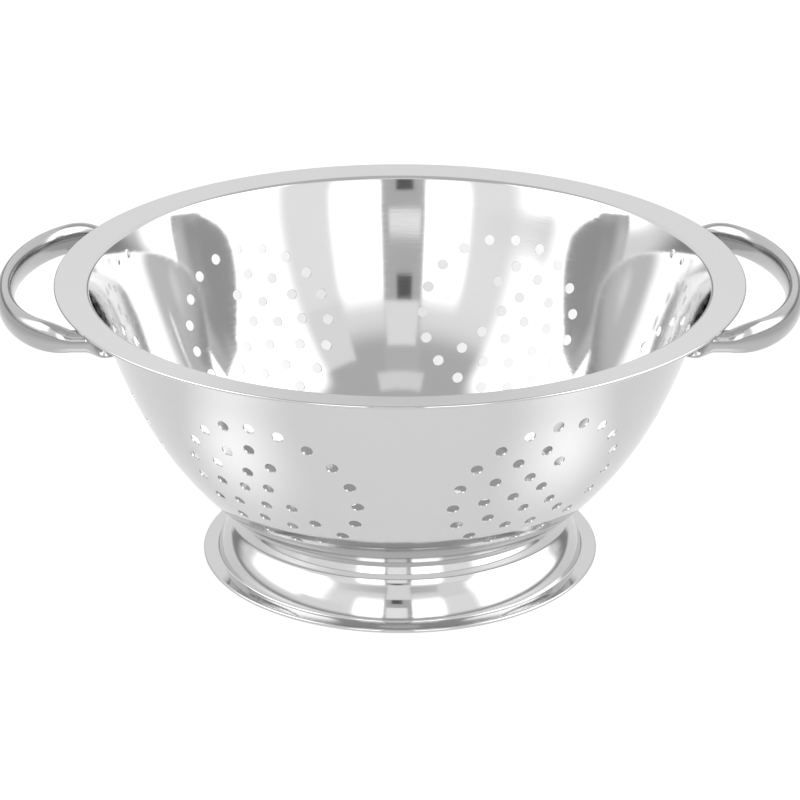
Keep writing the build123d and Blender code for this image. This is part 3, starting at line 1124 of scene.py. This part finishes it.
def board_material():
    material, nodes = new_material("board_grey")
    place = nodes.add("ShaderNodeTexCoord").outputs["Object"]
    _, y, z = nodes.add("ShaderNodeSeparateXYZ", Vector=place).outputs

    def grain(repeats, detail, roughness):
        along = nodes.math("MULTIPLY", y, repeats[0])
        up = nodes.math("MULTIPLY", z, repeats[1])
        return nodes.noise(nodes.joined(0.0, along, up), 1.0, detail, roughness)

    streaks = grain(BOARD_STREAKS, 3.0, 0.6)
    slant = nodes.math("MULTIPLY", nodes.math("SUBTRACT", z, BOARD_EDGE[1]), BOARD_EDGE_SLOPE)
    edge = nodes.math("ADD", slant, BOARD_EDGE[0])
    ragged = nodes.math("MULTIPLY", nodes.math("SUBTRACT", streaks, 0.5), BOARD_RAGGEDNESS)
    depth = nodes.math("SUBTRACT", nodes.math("ADD", y, ragged), edge)
    inside = nodes.ranged(
        depth, -BOARD_EDGE_SOFTNESS, BOARD_EDGE_SOFTNESS, 0.0, 1.0, "SMOOTHSTEP"
    )
    level = nodes.ranged(grain(BOARD_CLOUDS, 1.0, 0.5), 0.4, 0.6, *BOARD_LEVELS)
    path = nodes.add("ShaderNodeLightPath")
    across = nodes.ranged(path.outputs["Ray Length"], *BOARD_SHOWN_FROM, 0.0, 1.0)
    glossy = nodes.math("MULTIPLY", path.outputs["Is Glossy Ray"], across)
    clear = nodes.add("ShaderNodeBsdfTransparent")
    grey = nodes.add("ShaderNodeEmission", Strength=level)
    shown = nodes.math("MULTIPLY", glossy, inside)
    board = nodes.mixed_shader(shown, clear.outputs[0], grey.outputs[0])
    nodes.end("ShaderNodeOutputMaterial", board)
    return material


def make_boards():
    grey = board_material()
    for side, name in ((-1, "left_board"), (1, "right_board")):
        sheet = Sheet()
        (near, far), (low, high) = BOARD_SPAN, BOARD_HEIGHTS
        edges = ((near, low), (far, low), (far, high), (near, high))
        corners = np.array([(side * BOARD_DISTANCE, y, z) for y, z in edges]) / METRES_PER_MM
        numbers = sheet.add(corners, corners * 0 + (-side, 0, 0))
        sheet.faces.append(tuple(numbers))
        board = sheet.object(name)
        dress(board, grey)


def floor_material():
    material, nodes = new_material("floor_white")
    place = nodes.add("ShaderNodeTexCoord").outputs["Object"]

    def spot(x, y, radius, level):
        """A round place that is brightest in its middle and fades to nothing."""
        offset = nodes.add("ShaderNodeVectorMath", {"operation": "SUBTRACT"})
        nodes.put(offset.inputs[0], place)
        offset.inputs[1].default_value = (x, y, 0)
        distance = nodes.length(offset.outputs[0])
        return nodes.ranged(distance, 0.0, radius, level, 0.0, "SMOOTHSTEP")

    # Painted pools of light: the floor's level in reflections, raised round the glow places
    glow = FLOOR_REFLECTED
    for x, y in GLOW_PLACES:
        glow = nodes.math("ADD", glow, spot(x, y, GLOW_RADIUS, GLOW_LEVEL))
    near, far, far_share = FLOOR_FAR
    falling = nodes.ranged(nodes.length(place), near, far, 1.0, far_share, "SMOOTHSTEP")
    glow = nodes.math("MULTIPLY", glow, falling)
    # Painted shadow: the floor's level to the camera, dimmed behind the bowl
    seen = FLOOR_SEEN
    for shade in PAINTED_SHADES:
        seen = nodes.math("SUBTRACT", seen, spot(*shade))
    camera_ray = nodes.add("ShaderNodeLightPath").outputs["Is Camera Ray"]
    level = nodes.mixed(camera_ray, glow, seen)
    diffuse = nodes.add("ShaderNodeBsdfDiffuse")
    diffuse.inputs["Color"].default_value = (FLOOR_COLOUR,) * 3 + (1,)
    glare = nodes.add("ShaderNodeEmission", Strength=level)
    total = nodes.add("ShaderNodeAddShader")
    nodes.put(total.inputs[0], diffuse.outputs[0])
    nodes.put(total.inputs[1], glare.outputs[0])
    nodes.end("ShaderNodeOutputMaterial", total.outputs[0])
    return material


def make_floor():
    sheet = Sheet()
    angles = 2 * math.pi * np.arange(FLOOR_SIDES) / FLOOR_SIDES
    ring = np.stack([np.cos(angles), np.sin(angles), angles * 0], axis=1)
    numbers = sheet.add(ring * FLOOR_RADIUS / METRES_PER_MM, ring * 0 + (0, 0, 1))
    sheet.faces.append(tuple(numbers))
    floor = sheet.object("studio_floor")
    dress(floor, floor_material())


# Camera: place in metres, turn up from straight down in degrees, lens and film in millimetres
CAMERA_PLACE = (0.0, -1.1229, 0.5389)
CAMERA_TURN = 67.152
CAMERA_LENS = 132.5
FILM_WIDTH = 36.0


def make_camera():
    lens = bpy.data.cameras.new("photo_camera")
    lens.lens = CAMERA_LENS
    lens.sensor_width = FILM_WIDTH
    lens.sensor_fit = "HORIZONTAL"
    camera = bpy.data.objects.new("photo_camera", lens)
    camera.location = CAMERA_PLACE
    camera.rotation_euler = (math.radians(CAMERA_TURN), 0, 0)
    bpy.context.scene.collection.objects.link(camera)
    bpy.context.scene.camera = camera


make_camera()
make_world()
make_floor()
make_boards()
bpy.context.scene.view_settings.view_transform = "Standard"

# Steels: share of light reflected, roughness, and height of the streaks and of the waves
bowl_steel = steel("bowl_mirror_steel", 0.65, 0.07, 0.004, 0.02)
foot_steel = steel("foot_mirror_steel", 0.61, 0.07, 0.003, 0.015)
handle_steel = steel("handle_mirror_steel", 0.5, 0.13, 0.002, 0.015)
weld_steel = steel("weld_dull_steel", 0.5, 0.35, 0.006, 0.02)

bowl = make_bowl()
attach(bowl, "root")
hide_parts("bowl")
dress(bowl, bowl_steel)

foot = make_foot()
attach(foot, "root")
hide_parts("foot_ring")
dress(foot, foot_steel)

for name, turns in (("handle_right", 0), ("handle_left", 1)):
    handle = make_handle(name + "_tube", turns)
    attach(handle, "root")
    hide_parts(name)
    dress(handle, handle_steel)

for name in ("handle_spot_welds", "foot_spot_welds"):
    weld = bpy.data.objects[name]
    for slot in weld.material_slots:
        slot.material = weld_steel

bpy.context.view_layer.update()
